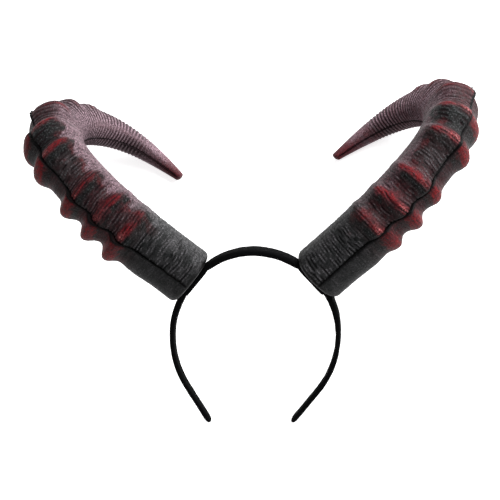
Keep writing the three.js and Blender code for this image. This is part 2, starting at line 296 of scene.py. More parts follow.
def band_surface():
    """A superellipse carried along the centre line: at the angle q its point is |cos q|^(2/n) of
    the way to the outer or inner face and |sin q|^(2/n) of half the width to the back."""
    mirrored = left_half[:0:-1] * (-1, 1, -1, -1)
    line = np.concatenate([mirrored, right_half])
    dome = np.linspace(0, np.pi / 2, BAND_DOME_ROWS + 1)[1:]
    caps = []
    for end, way in ((line[0], -1), (line[-1], 1)):
        x, z, heading, distance = end
        ahead = way * BAND_DOME * np.sin(dome)
        along = x + ahead * np.cos(heading), z - ahead * np.sin(heading)
        caps.append(np.stack([*along, np.full_like(dome, heading), distance + ahead], -1))
    line = np.concatenate([caps[0][::-1], line, caps[1]])
    middle = np.ones(len(line) - 2 * len(dome))
    share = np.concatenate([np.cos(dome[::-1]), middle, np.cos(dome)])[:, None] ** DOME_POWER
    share[[0, -1]] = 0
    x, z, heading, distance = line.T[:, :, None]
    angle = np.linspace(-np.pi, np.pi, BAND_COLUMNS + 1)[None, :]
    from_crown = np.abs(distance)
    width = BAND_CROWN_WIDTH + (BAND_TIP_WIDTH - BAND_CROWN_WIDTH) * from_crown / BAND_REACH
    long_mm, long_round = LONG_PUCKER
    short_mm, short_round = SHORT_PUCKER
    lift = soft_noise(distance / long_mm, np.cos(angle) * long_round, 3)
    lift = lift + soft_noise(distance / short_mm, np.sin(angle) * short_round, 4)
    fold = FOLD["height"] * bell(np.pi - np.abs(angle) - FOLD["width"] * np.sign(angle), FOLD["width"])
    lift = CLOTH_UNEVEN * lift + fold
    seat_end = SEAT_START[3] + SEAT_LENGTH
    outside = BAND_OUTSIDE + BAND_RISE * (1 - rise(from_crown, seat_end, seat_end + RISE_FADE))
    on_seat = from_crown - SEAT_START[3] - SEAT_LENGTH / 2
    inside = BAND_INSIDE - np.where(distance < 0, let_in(on_seat, -1), let_in(on_seat, 1))
    across, along = superellipse(angle, BAND_SQUARENESS)
    outward = across * (np.where(across > 0, outside, inside) + lift) * share
    back = along * (width / 2 + lift) * share
    points = np.stack([x + np.sin(heading) * outward, back, z + np.cos(heading) * outward], -1)
    girth = BAND_CROWN_WIDTH + BAND_INSIDE + BAND_OUTSIDE
    uv = np.stack(np.broadcast_arrays(angle / np.pi * girth, distance), -1) / CENTIMETRE
    return points, uv


def build_headband():
    """The band's surface as a piece, closed round and at both tips."""
    points, uv = band_surface()
    faces, uv_faces = tube_cells(*points.shape[:2])
    surface = points.reshape(-1, 3), faces, uv.reshape(-1, 2), uv_faces, {}
    return make_piece("headband_cloth", *surface, "band_cloth", "headband")


headband = build_headband()

# %% [markdown]
# ## The pads
# A strip of felt is glued to the head side of the band under each horn, to spread the pressure. A
# bevelled box would do for its size, but felt has a soft edge, so it is a superellipse in plan
# whose profile is a second superellipse: a flat strip with a rounded rim. It is pressed into the
# band, so only its ends show from the side.

# %% The seat pads
GAP = 0.3
PAD = {"length": 28, "width": 9.5, "thickness": 1.0, "plan": 6.0, "profile": 3.0, "gap": 0.05}
PAD_ROWS, PAD_COLUMNS = 40, 96
FELT_UNEVEN, FELT_LUMP = 0.06, 1.4
FELT_NOISE_FROM = 30
SEAT_SLANT = np.degrees(SEAT_START[2])
seat_along = np.array([np.cos(SEAT_START[2]), -np.sin(SEAT_START[2])])
SEAT_MIDDLE = SEAT_START[:2] + SEAT_LENGTH / 2 * seat_along


def from_seat(point, side):
    """A point above the flat of the band under a horn (x along the band, z away from the head)."""
    place = np.array([side * SEAT_MIDDLE[0], 0, SEAT_MIDDLE[1]])
    return point @ turn("Y", side * SEAT_SLANT).T + place


def build_pad(name, side):
    """One pad: at the angle p of its profile and q of its plan, a superellipse of q drawn in by the
    sine of p, at the height of the cosine of p, with a faint noise for the felt."""
    height, share = superellipse(np.linspace(0, np.pi, PAD_ROWS)[:, None], PAD["profile"])
    share[[0, -1]] = 0
    x, y = superellipse(np.linspace(0, 2 * np.pi, PAD_COLUMNS + 1)[None, :], PAD["plan"])
    x, y = x * share * PAD["length"] / 2, y * share * PAD["width"] / 2
    lumps = x / FELT_LUMP + FELT_NOISE_FROM, y / FELT_LUMP + FELT_NOISE_FROM
    felt = FELT_UNEVEN * soft_noise(*lumps, 8)
    z = height * (PAD["thickness"] / 2 + felt) - BAND_INSIDE - PAD["gap"] - PAD["thickness"] / 2
    z = z + let_in(x, side)
    points = from_seat(np.stack([x, y, z], -1), side)
    faces, uv_faces = tube_cells(*z.shape)
    uv = np.stack([x, y], -1).reshape(-1, 2) / CENTIMETRE
    surface = points.reshape(-1, 3), faces, uv, uv_faces, {}
    return make_piece(f"{name}_pad_felt", *surface, "patch_cloth", f"{name}_seat_patch")


pads = [build_pad("left", -1), build_pad("right", 1)]

# %% [markdown]
# ## The shape of a horn
# Each horn is two shells of foam, pressed in a hot mould and glued edge to edge, so a seam runs
# along the outside of the curl and along the inside. Sculpting could give the shape, but a horn is
# a rounded section carried along a bending line, and a short table of sections holds all of it.

# %% Sections and centre line of a horn
# place along the centre line, bend there (degrees for each millimetre), half depth, half breadth
HORN_SECTIONS = np.array([
    (0, 0.02, 20.3, 22.6),
    (58, 0.17, 19.2, 21.9),
    (114, 0.40, 19.4, 20.4),
    (158, 1.28, 20.3, 19.3),
    (181, 1.21, 19.9, 18.3),
    (222, 1.03, 16.1, 14.7),
    (266, 0.75, 9.4, 9.9),
    (314, 0.51, 3.9, 3.6),
])
SECTION_AT, SECTION_BEND, SECTION_DEPTH, SECTION_BREADTH = HORN_SECTIONS.T
HORN_LENGTH = SECTION_AT[-1]
HORN_DRIFT = 21
TIP_DOME = 2.2


def along_sections(at, column):
    """A smooth curve through a column of the table: cubic between two rows, with each row's slope
    taken from the rows before and after it."""
    last = len(SECTION_AT) - 1
    row = np.arange(last + 1)
    before, after = np.maximum(row - 1, 0), np.minimum(row + 1, last)
    slope = (column[after] - column[before]) / (SECTION_AT[after] - SECTION_AT[before])
    i = np.clip(np.searchsorted(SECTION_AT, at, side="right") - 1, 0, last - 1)
    span = SECTION_AT[i + 1] - SECTION_AT[i]
    u = (at - SECTION_AT[i]) / span
    blend = rise(u, 0, 1)
    lean = span * (slope[i] * u * (1 - u) ** 2 - slope[i + 1] * u * u * (1 - u))
    return column[i] * (1 - blend) + column[i + 1] * blend + lean


LINE_AT = np.arange(HORN_LENGTH + 5)
line_bend = np.radians(np.interp(LINE_AT[:-1] + 0.5, SECTION_AT, SECTION_BEND))
LINE_TURNED = np.concatenate([[0], np.cumsum(line_bend)])
line_middle = LINE_TURNED[:-1] + line_bend / 2
LINE_Y = np.concatenate([[0], np.cumsum(np.sin(line_middle))])
LINE_Z = np.concatenate([[0], np.cumsum(np.cos(line_middle))])
print(f"horn: {HORN_LENGTH:.0f} mm along, curled through {np.degrees(LINE_TURNED[-1]):.0f} degrees")

# %% [markdown]
# A point of the skin takes its place from the centre line, then moves out by the half sizes of the
# section. The angle runs from the outer seam (0) to the inner one (180 degrees) on either half.
# The two horns were pressed and glued on by hand, so each has its own lean, splay and twist on its
# seat, is a little fuller or slimmer, and has its own bow and length at the tip. Two separate models
# could hold that, but a few numbers for each horn keep them one shape.

# %% A point of a horn's skin
SECTION_SQUARENESS = 2.3
SEAM_GAP = 0.12
FOOT_BLEND = 30
# name: side, lean to the back, splay from the head, twist (degrees), sway of the tip (mm)
HORNS = {
    "left": (-1, 3.1, 1.0, -0.8, -2),
    "right": (1, 6.6, 1.8, 6.9, 4),
}
# name: how far the tip is bowed inwards on its way and how much shorter it is (mm), and how full
# the horn is across
MOULDED = {"left": (2.0, 1, 1.02), "right": (0.4, 5, 0.985)}
# place and half length of the bow, and where a tip starts to be shorter
TIP_BOW, SHORTER_FROM = (258, 38), 250
NO_DEPTH = 1e-6


def horn_skin(name, half, at, angle, inset, share, relief):
    """Worn points of one half: inset is how far inside the plain skin they lie, share draws a row
    in towards the centre line, and relief stands out from the skin (mm). The drift to the side grows
    with the square of the way along, and the sway with its sixth power."""
    side, lean, splay, twist, sway = HORNS[name]
    bow, shorter, full = MOULDED[name]
    depth = (along_sections(np.minimum(at, HORN_LENGTH), SECTION_DEPTH) - inset) * share
    breadth = (along_sections(np.minimum(at, HORN_LENGTH), SECTION_BREADTH) * full - inset) * share
    at = at - shorter * rise(at, SHORTER_FROM, HORN_LENGTH)
    wide = breadth / np.maximum(depth, NO_DEPTH)
    c, s = superellipse(angle, SECTION_SQUARENESS)
    outwards = c * (depth + relief)
    sideways = SEAM_GAP / 2 + s * np.maximum(breadth + relief * wide - SEAM_GAP / 2, 0)
    turned = np.interp(at, LINE_AT, LINE_TURNED)
    x = -HORN_DRIFT * (at / HORN_LENGTH) ** 2 - sway * (at / HORN_LENGTH) ** 6 + half * sideways
    x = x - bow * bell(at - TIP_BOW[0], TIP_BOW[1])
    y = np.interp(at, LINE_AT, LINE_Y) - np.cos(turned) * outwards
    z = np.interp(at, LINE_AT, LINE_Z) + np.sin(turned) * outwards
    upright = np.stack(np.broadcast_arrays(x, y, z), -1)
    setting = turn("X", -lean) @ turn("Y", splay) @ turn("Z", twist)
    point = upright @ setting.T
    foot = (upright * (1, 1, 0)) @ setting.T
    point[..., 2] -= foot[..., 2] * (1 - rise(upright[..., 2], 0, FOOT_BLEND))
    point = point * (side, 1, 1) + (0, 0, BAND_OUTSIDE + GAP)
    return from_seat(point, side)


print("horns:", ", ".join(HORNS))

# %% [markdown]
# ## Rolls, growth lines and the seam
# The relief of a real horn grows in layers: big rolls on the outside of the curl, and fine lines
# that run round the shaft between them. The mould copies both. A displacement texture could stand
# in for them, but as geometry they keep their shadow in every view and stay in the mesh itself. The
# rolls end in lobes on the outer halves, some higher than others, with a low shoulder below the
# first of them.

# %% The rolls
# place along the horn, height of the roll, strength and width of the red paint on it, then how far
# the roll lies nearer the tip on the inner half, by the seam and on the far side
RIDGES = np.array([
    (64, 5.0, 0.8, 6.5, -3.0, -3.0),
    (85, 5.2, 0.9, 6.0, -1.8, -5.0),
    (107, 4.6, 1.0, 4.5, -2.1, -4.0),
    (139, 4.7, 1.0, 5.0, -0.5, -2.0),
    (158, 4.6, 1.0, 4.0, 0, 0),
    (181, 5.5, 0.6, 2.5, -1.0, -1.0),
    (203, 3.3, 0.5, 2.2, -0.5, -0.5),
    (221, 1.8, 0.35, 2.0, 0, 0),
])
RIDGE_AT, RIDGE_TALL, RIDGE_RED, RED_WIDTH, NEAR_SHIFT, FAR_SHIFT = RIDGES.T
# how high the rolls are on each outer half, as a share of the height above
LOBES = {
    "left": [1.3, 1.3, 1.3, 1.15, 1.25, 0.5, 0.8, 1.0],
    "right": [0.75, 1.0, 0.75, 0.95, 0.64, 0.4, 0.63, 0.9],
}
# place, half length and height of the shoulder below the first roll of an outer half
SHOULDER = (44, 15, 1.5)
# place round the horn and half width (degrees) where a crest swells, and by what share
KNOBS = [(10, 9, 0.1), (58, 16, 0.08)]
# half width of a roll on the tip's side and on the base's (mm), and the power that rounds its top
RIDGE_TIPWARD, RIDGE_BASEWARD, RIDGE_ROUND = 4.9, 7.6, 2.4
# how far round the horn a roll is full, where it is gone, and where its shift is full (degrees)
RIDGE_FULL, RIDGE_GONE, SHIFT_FULL = 60, 113, 95
# how far a crest wavers (mm), the length of that round the horn (degrees), and where its noise starts
CREST_WAVER, WAVER_LENGTH, WAVER_FROM = 0.8, 26, 9


def beyond_ridge(at, degrees, half, number, seed):
    """How far places lie beyond a ridge's crest: the place less the crest's, which shifts round the
    inner half by a smooth step and wavers a little with noise."""
    near, far = NEAR_SHIFT[number], FAR_SHIFT[number]
    shift = near + (far - near) * rise(degrees, 0, SHIFT_FULL) if half < 0 else 0
    waver = CREST_WAVER * soft_noise(degrees / WAVER_LENGTH + WAVER_FROM, number + 0.5, seed)
    return at - RIDGE_AT[number] - shift - waver


def ridge_rolls(name, half, at, degrees, seed):
    """The rolls: exp(-|x / width|^2.4) at x beyond each ridge's crest, steeper towards the tip, that
    fades out round the side. Each crest swells a little at the KNOBS."""
    fade = 1 - rise(degrees, RIDGE_FULL, RIDGE_GONE)
    knob = 1
    for place, wide, share in KNOBS:
        knob = knob + share * bell(degrees - place, wide)
    height = 0
    for number, tall in enumerate(RIDGE_TALL):
        beyond = beyond_ridge(at, degrees, half, number, seed)
        width = np.where(beyond > 0, RIDGE_TIPWARD, RIDGE_BASEWARD)
        crest = tall * (LOBES[name][number] if half > 0 else 1)
        height = height + crest * np.exp(-np.abs(beyond / width) ** RIDGE_ROUND)
    if half > 0:
        place, length, tall = SHOULDER
        height = height + tall * bell(at - place, length)
    return height * fade * knob


print(f"rolls: {len(RIDGES)} on each horn, up to {RIDGE_TALL.max()} mm high")

# %% [markdown]
# The fine lines are counted along the horn, and noise bends the count, so that a line is wherever it
# passes a whole number. That gives every line its own depth and lets it break off, which a plain wave
# could not. On the tip they widen into regular ribs. A net of cracks lies between them on the shaft.

# %% Growth lines and cracks
LINE_PITCH, TIP_PITCH = 2.35, 3.4
TIP_LINES = (160, 205)
# how far a line wavers (in lines), and the length of that along and round the horn (mm)
LINE_WAVERS = [(0.45, 20, 12), (0.14, 6, 4)]
STEADY_TIP = 0.6
# half width of a groove and of a rib on the shaft, and how much wider they are on the tip (mm)
GROOVE_WIDTH, RIB_WIDTH = (0.6, 0.35), (0.55, 0.3)
# length round the horn of the stretches where a line shows (mm)
LINE_STRETCH = 4.5
# how deep a line is on average and how far that varies, as shares, and how far apart in the noise
# two lines are read
LINE_DEPTHS, LINE_APART = (0.65, 0.5), 7
# the noise where a groove and where a rib starts to show, and where it is full
CUT_SHOWS, LIT_SHOWS = (-0.45, 0.1), (-0.4, 0.15)
# length along and round the horn of the coarse and the fine net of cracks (mm), how thin they are in
# the noise, and how strong the fine ones are
COARSE_CRACKS, FINE_CRACKS, CRACK_WIDTH, FINE_STRENGTH = (2.8, 3.8), (1.7, 2.2), 0.2, 0.7


def line_number(at):
    """How many growth lines lie below a place. Their pitch widens along TIP_LINES by a smooth step,
    whose sum from its start is its length times u^3 - u^4 / 2."""
    start, end = TIP_LINES
    u = np.clip((at - start) / (end - start), 0, 1)
    widened = (end - start) * (u**3 - u**4 / 2) + np.maximum(at - end, 0)
    return at / LINE_PITCH - widened * (1 / LINE_PITCH - 1 / TIP_PITCH)


def growth_lines(at, round_mm, whole, seed):
    """Grooves and ribs (0 to 1) of the fine lines round the shaft. The number of lines below a place
    is bent a little by noise: its whole numbers are the lines, and a rib lies between two. Each line
    has its own depth and shows only along some stretches, or all round where whole is 1."""
    waver = 1 - STEADY_TIP * whole
    bent = line_number(at)
    for number, (far, along, around) in enumerate(LINE_WAVERS):
        bent = bent + far * waver * soft_noise(at / along, round_mm / around, seed + number)
    pitch = LINE_PITCH + (TIP_PITCH - LINE_PITCH) * rise(at, *TIP_LINES)
    line, rib = np.round(bent), np.floor(bent) + 0.5
    depth = LINE_DEPTHS[0] + LINE_DEPTHS[1] * soft_noise(line * LINE_APART, 0, seed + 2)
    shown = []
    for middle, shows in ((line, CUT_SHOWS), (rib, LIT_SHOWS)):
        stretches = soft_noise(middle * 2 * LINE_APART, round_mm / LINE_STRETCH, seed + 3)
        part = rise(stretches, *shows)
        shown.append(part + (1 - part) * whole)
    cut, lit = shown
    groove_width, rib_width = [thin + wider * whole for thin, wider in (GROOVE_WIDTH, RIB_WIDTH)]
    grooves = bell((bent - line) * pitch, groove_width) * cut * np.maximum(depth, whole)
    ribs = bell((bent - rib) * pitch, rib_width) * lit
    return np.clip(grooves, 0, 1), ribs


def cracks(at, round_mm, seed):
    """A net of fine cracks: the lines where two noises pass through zero."""
    nets = [
        bell(soft_noise(at / along, round_mm / around, seed + number), CRACK_WIDTH)
        for number, (along, around) in enumerate((COARSE_CRACKS, FINE_CRACKS))
    ]
    return np.maximum(nets[0], FINE_STRENGTH * nets[1])


print(f"about {HORN_LENGTH / LINE_PITCH:.0f} growth lines on each horn")

# %% [markdown]
# The seam is a narrow groove, and where the mould's halves didn't quite meet, a little flash stands
# up from it in fins. Everything is added up here into one height for each point, with the shares of
# groove, rib, crack and seam, because the paint will follow them.

# %% The relief over the grid of one half
LINE_DEPTH, RIB_HEIGHT, CRACK_DEPTH = 0.65, 0.2, 0.28
SEAM_DEPTH, SEAM_WIDTH = 1.1, 0.9
# where the seam gets thinner along the horn, and by what share
SEAM_THINS, SEAM_THINNED = (190, 240), 0.45
# horn: place along it, height and half width of each fin of flash on the outer seam
FLASH = {
    "left": [(152, 1.6, 1.5), (180, 3.0, 6), (186, 3.4, 2.4)],
    "right": [(139, 2.0, 1.8), (176, 2.2, 8), (187, 6.5, 2.4)],
}
FIN_THICK = 1.0
# where the shaft turns into the tip, where the tip gets smooth (mm) and where the side is (degrees)
TIP_FROM, TIP_SMOOTH, SIDE_FROM = (152, 192), (262, 286), (44, 76)
# how strong lines and cracks are on the shaft of an inner (-1) and an outer half (1), how much weaker
# the lines are on its side, and how strong the cracks still are by the outer seam
SHAFT_LINES, SHAFT_CRACKS, SIDE_WEAKER, SEAM_CRACKS = {-1: 1.0, 1: 0.3}, {-1: 1, 1: 0.5}, 0.7, 0.5
# how far the ribs of each tip fade at its corner, where that starts, and its place round the horn
TIP_CORNER = {"left": 0.8, "right": 0.15}
CORNER_FROM, CORNER_AT, CORNER_WIDTH = (200, 222), 133, 14


def horn_relief(name, half, at, degrees, round_mm, seam_mm, seed):
    """The relief (mm) at places along and round a half: rolls, plus ribs, less lines and cracks, less
    a bell across the seam, plus the fins. With it come the shares (0 to 1) that the paint follows."""
    tip, end, side = rise(at, *TIP_FROM), rise(at, *TIP_SMOOTH), rise(degrees, *SIDE_FROM)
    grooves, ribs = growth_lines(at, round_mm, tip, seed + 10)
    corner = TIP_CORNER[name] * rise(at, *CORNER_FROM) * bell(degrees - CORNER_AT, CORNER_WIDTH)
    shaft = SHAFT_LINES[half] * (1 - SIDE_WEAKER * side)
    strength = (shaft * (1 - tip) + tip) * (1 - end) * (1 - corner)
    grooves, ribs = grooves * strength, ribs * strength
    crack = cracks(at, round_mm, seed + 20) * (SEAM_CRACKS + (1 - SEAM_CRACKS) * side)
    crack = crack * (1 - tip) * SHAFT_CRACKS[half]
    fins = sum(tall * bell(at - place, wide) ** 0.5 for place, tall, wide in FLASH[name])
    fins = fins * bell(seam_mm, FIN_THICK) * (degrees < 90)
    thinner = 1 - SEAM_THINNED * rise(at, *SEAM_THINS)
    seam = bell(seam_mm, SEAM_WIDTH * thinner)
    fine = RIB_HEIGHT * ribs - LINE_DEPTH * grooves - CRACK_DEPTH * crack
    rolls = ridge_rolls(name, half, at, degrees, seed)
    relief = rolls + fine - SEAM_DEPTH * thinner * seam + fins
    shares = {"tip": tip, "end": end, "grooves": grooves, "ribs": ribs, "crack": crack}
    shares.update(seam=seam, thinner=thinner, fins=fins)
    return relief, shares


print("fins of flash:", {name: len(fins) for name, fins in FLASH.items()})

# %% [markdown]
# ## Where the paint lies
# The foam is black all through. Red lies on the crests in patches with a haze of paint round them,
# and more evenly on the lobes of the outer halves. Two crests of one horn carry a painted highlight
# along the edge, and a painted highlight lies on the crests by the inner seam. Below the crests dark
# strips are left. An image painted by hand could hold all this, but one number at each point, kept on
# the mesh as a layer, needs no image and follows the rolls by itself. Noise of several sizes makes its
# edges ragged.

# %% The paint's noises
# each noise: its length along the horn (mm) and round it (mm, or degrees for the strips), and its seed
PAINT_NOISE = {
    "ragged": (2.0, 2.6, 30),
    "ends": (4, 5, 31),
    "patches": (7, 6, 32),
    "strips": (5, 14, 33),
    "brush": (3.2, 7, 40),
    "blots": (8, 6, 45),
    "specks": (2.5, 2.5, 46),
}


def paint_noise(kind, at, around, seed):
    """One of the noises, from -1 to 1, at places along and round a half."""
    length, width, number = PAINT_NOISE[kind]
    return soft_noise(at / length, around / width, seed + number)


print("noises of the paint:", ", ".join(PAINT_NOISE))

# %% Where the red lies
# how far ahead of each crest the middle of its red lies on the inner half, and on the outer half
RED_AHEAD = [0.8, 0.8, 0.8, 0.8, 0.8, -1.6, -1.6, -1.6]
LOBE_AHEAD = -1.0
# how much wider the red is on the lobes, how ragged and how soft its edge is, and its haze's width
LOBE_WIDER, RED_RAGGED, RED_SOFT, HAZE_WIDTH = 1.8, 0.9, 1.6, 1.1
# how wide the bright core is on an inner (-1) and an outer half (1), as a share of the red
CORE_WIDTH = {-1: 0.3, 1: 0.45}
# how far round each inner half the red of each ridge ends, how softly and how unevenly (degrees)
RED_ENDS = {"left": [56, 56, 56, 56, 56, 80, 84, 84], "right": [56, 56, 56, 56, 76, 80, 84, 84]}
RED_END_SOFT, ENDS_UNEVEN = 7, 8
# where round an outer half the red of the lobes ends and where it is full, its share by the seam, and
# its strength
LOBE_ENDS, LOBE_FULL, LOBE_BY_SEAM = (94, 118), (12, 36), 0.5
# the left horn's greater strength is partly painted light, on lobes that face away from the lamps
LOBE_RED_AND_LIGHT = {"left": 1.5, "right": 1.15}
# how much red is left between its patches on the inner halves, and the noise from which it gets full
PATCH_LEAST, PATCH_FROM = 0.25, (-0.55, 0.35)
# the ridges of each horn with a painted highlight along the edge of the crest, the highlight's place
# beyond the crest, its half width, and where round the horn it ends
HIGHLIGHT_RIDGES = {"left": [], "right": [3, 4]}
HIGHLIGHT_AT, HIGHLIGHT_WIDTH, HIGHLIGHT_ENDS = 0.9, 0.7, (28, 52)


def red_place(half, number):
    """The width of a ridge's red and how far ahead of the crest its middle lies (mm)."""
    if half < 0:
        return RED_WIDTH[number], RED_AHEAD[number]
    return RED_WIDTH[number] * LOBE_WIDER, LOBE_AHEAD


def red_bands(name, half, at, degrees, round_mm, seed):
    """The red on the rolls (0 to 1): a band along each crest with a ragged edge, its core, a painted
    highlight along the edge of some crests, and the haze of paint round it. On the inner half it runs
    from the seam to the side and comes in patches, and on the outer half it lies over the lobes."""
    ragged = RED_RAGGED * paint_noise("ragged", at, round_mm, seed)
    ragged = ragged * (LOBE_WIDER if half > 0 else 1)
    ends = degrees + ENDS_UNEVEN * paint_noise("ends", at, round_mm, seed)
    by_seam = LOBE_BY_SEAM + (1 - LOBE_BY_SEAM) * rise(ends, *LOBE_FULL)
    lobe = LOBE_RED_AND_LIGHT[name] * (1 - rise(ends, *LOBE_ENDS)) * by_seam
    patches = rise(paint_noise("patches", at, round_mm, seed), *PATCH_FROM)
    patchy = PATCH_LEAST + (1 - PATCH_LEAST) * patches if half < 0 else 1
    band, core, edge_highlight, haze = 0, 0, 0, 0
    for number, round_to in enumerate(RED_ENDS[name]):
        beyond = beyond_ridge(at, degrees, half, number, seed)
        width, ahead = red_place(half, number)
        inside = 1 - rise(ends, round_to - RED_END_SOFT, round_to + RED_END_SOFT) if half < 0 else lobe
        strength = RIDGE_RED[number] * inside
        off = np.abs(beyond + ragged - ahead)
        band = band + strength * patchy * (1 - rise(off, width / 2 - RED_SOFT, width / 2 + RED_SOFT))
        haze = haze + strength * bell(off, width * HAZE_WIDTH)
        core = core + strength * patchy * bell(off, CORE_WIDTH[half] * width)
        # a painted highlight along the edge of some crests
        if number in HIGHLIGHT_RIDGES[name]:
            edge_highlight = edge_highlight + bell(beyond - HIGHLIGHT_AT, HIGHLIGHT_WIDTH) * (1 - rise(ends, *HIGHLIGHT_ENDS))
    return band, core, edge_highlight, haze


print("red on", len(RIDGES), "ridges of each horn")

# %% [markdown]
# The brush didn't reach the face below a crest, so a dark strip is left there. Ambient occlusion could
# darken it, but it would darken every hollow alike, and on the real horns each strip has its own
# length and some are broken up.

# %% The dark strips under the crests
# how far the strip under each crest reaches towards the base (mm), and how much of it is left where it
# is broken up
UNDER = [6, 5, 5, 6, 14, 0, 0, 0]
UNDER_LEFT = [0.65, 0.35, 1, 0.8, 1, 0, 0, 0]
# the noise where a strip is most broken up, and where it is whole
STRIP_WHOLE = (-0.4, 0.35)
# where a strip starts past the red and how softly it ends (mm), and how far before and after the red's
# end it fades out round the horn (degrees)
STRIP_STARTS, STRIP_SOFT, STRIP_BEFORE, STRIP_AFTER = (-1.5, 0.5), 2, 4, 8


def under_crests(name, half, at, degrees, uneven, seed):
    """The dark strip (0 to 1) under each crest, on the side of the base, past the red: a step up, a
    step down after the strip's length, and noise where it is broken up."""
    strip = 0
    whole = rise(paint_noise("strips", at, degrees, seed), *STRIP_WHOLE)
    for number, (length, left, round_to) in enumerate(zip(UNDER, UNDER_LEFT, RED_ENDS[name])):
        width, ahead = red_place(half, number)
        below = ahead - beyond_ridge(at, degrees, half, number, seed) - width / 2
        inside = 1 - rise(uneven, round_to - STRIP_BEFORE, round_to + STRIP_AFTER) if half < 0 else 1
        inside = inside * (left + (1 - left) * whole)
        ended = rise(below, length - STRIP_SOFT, length + STRIP_SOFT)
        strip = strip + inside * rise(below, *STRIP_STARTS) * (1 - ended)
    return np.clip(strip, 0, 1)


print("dark strips under", sum(length > 0 for length in UNDER), "crests of each horn")

# %% [markdown]
# A dusty mauve lies over the smooth inner sides and the curl, turning grey towards the base, where the
# grey on the inner side is painted light on the side that faces the lamps. A painted highlight makes it
# palest in the bend of the curl. It is thin between the ribs of the tip, and gone from the tip's end
# and underside. One horn carries far more of it than the other on its shaft, partly as painted light
# on the inner side that faces the lamps.

# %% Where the mauve lies
# how much mauve each horn carries on its shaft and on its curl; the left horn's larger share on its
# shaft is partly painted light, on the inner side that faces the lamps
MAUVE_AND_LIGHT = {"left": (0.53, 0.67), "right": (0.21, 0.68)}
# where round the horn the mauve starts (degrees), at places along it, and how soft that edge is on
# the shaft, with what the tip adds
MAUVE_AT, MAUVE_FROM = [60, 150, 172, 198], [56, 56, 60, 56]
MAUVE_SOFT, MAUVE_SOFTER = 13, 25
# stretches along the horn: where the base's thin paint becomes full, where the curl has some all
# round, and where the tip's end loses it
MAUVE_FULL, CURL_ROUND, MAUVE_ENDS = (40, 76), (185, 215), (292, 312)
# the painted highlight in the bend: place and half width round the horn, and its stretch along it
BEND_HIGHLIGHT_AT, BEND_HIGHLIGHT_WIDTH, BEND_HIGHLIGHT_FROM, BEND_HIGHLIGHT_TO = 110, 22, (172, 196), (258, 292)
# the tip's underside, round the horn and along it
UNDERSIDE_ROUND, UNDERSIDE_ALONG = (128, 160), (240, 275)
# shares of the mauve on the base, where it is grey painted light, and all round the curl, then how much
# less there is between the ribs of the tip, how much more the painted highlight in the bend adds, and
# how much less on the underside and at the end
BASE_PAINTED_LIGHT, ROUND_MAUVE = 0.4, 0.3
RIBS_LESS, BEND_HIGHLIGHT_MORE, UNDERSIDE_LESS, END_LESS = 0.55, 0.5, 0.7, 0.75


def mauve_with_light(name, at, degrees, uneven, start, shares):
    """The mauve (0 to 1), partly painted light: a smooth step round the horn from start on, at an uneven
    edge, times how much of it there is along the horn, more under the painted highlight in the bend and
    less on the underside and the end."""
    tip, end, ribs = shares["tip"], shares["end"], shares["ribs"]
    soft = MAUVE_SOFT + MAUVE_SOFTER * tip
    pale = rise(uneven, start - soft, start + soft)
    pale = pale * (BASE_PAINTED_LIGHT + (1 - BASE_PAINTED_LIGHT) * rise(at, *MAUVE_FULL))
    pale = np.maximum(pale, ROUND_MAUVE * rise(at, *CURL_ROUND))
    pale = pale * (1 - RIBS_LESS * tip * (1 - end) * (1 - ribs))
    shaft_paint, curl_paint = MAUVE_AND_LIGHT[name]
    pale = pale * (shaft_paint + (curl_paint - shaft_paint) * tip)
    # a painted highlight in the bend of the curl
    bend = bell(degrees - BEND_HIGHLIGHT_AT, BEND_HIGHLIGHT_WIDTH) * rise(at, *BEND_HIGHLIGHT_FROM) * (1 - rise(at, *BEND_HIGHLIGHT_TO))
    pale = pale * (1 + BEND_HIGHLIGHT_MORE * bend)
    underside = rise(degrees, *UNDERSIDE_ROUND) * rise(at, *UNDERSIDE_ALONG)
    return pale * (1 - UNDERSIDE_LESS * underside) * (1 - END_LESS * rise(at, *MAUVE_ENDS))


print("mauve on shaft and curl:", MAUVE_AND_LIGHT)

# %% [markdown]
# The other layers follow the relief. Grey is dry-brushed over the ribs, a wine wash runs from above
# the base to the tip and is thin on the face below the fourth roll, and a red wash lies over one curl
# and both tips. Grooves, cracks and the seam stay dark, and black glue shows round the base.

# %% The paint over the grid of one half
# how much of the red wash lies over each curl and over both tips, and where along the horn a tip's
# starts and is full
CURL_WASH, TIP_RED, TIP_WASH = {"left": 0.0, "right": 0.4}, 0.45, (284, 310)
# how uneven the edge of the mauve is, in blots and in specks (degrees)
EDGE_BLOTS, EDGE_SPECKS = 14, 7
# how strong the haze and the dry brush in the red's core are on an inner (-1) and an outer half (1)
HAZE, CORE_BRUSH = {-1: 0.4, 1: 0.35}, {-1: 0.15, 1: 0.5}
# how dark the strips are on either half, and how much darker an outer half is all over
STRIP_DARK, HALF_DARK = {-1: 1, 1: 0.8}, {-1: 0, 1: 0.2}
# the red fringe before the mauve: how far before it, its half width, and where it starts and ends
FRINGE_AHEAD, FRINGE_WIDTH, FRINGE_FROM, FRINGE_TO = 7, 9, (40, 58), (150, 170)
# its strength, and the brush marks where it starts to show and where it is full
FRINGE_RED, FRINGE_BRUSH = 0.5, (0.4, 0.8)
# place and half length of the face below the fourth roll where the wine wash is thin, how thin it is,
# and where that ends round the horn
GREY_FACE, GREY_FACE_ENDS = (124, 11, 0.65), (40, 64)
# where along the horn the wine starts and is full, and its share on the shaft of an outer half
WINE_FROM, OUTER_WINE = (46, 84), 0.6
# where along the horn the grey gets weaker and by what share, then where round the tip it starts to
# be full, and how much weaker it is on the outside of the curl
ASH_FADES, ASH_LESS, SHADED_ENDS, SHADED_LESS = (56, 80), 0.25, (25, 75), 0.6
# where the painted highlight on the crests lies from the seam, and its half width (mm)
SEAM_HIGHLIGHT_AT, SEAM_HIGHLIGHT_WIDTH = 4, 3.5
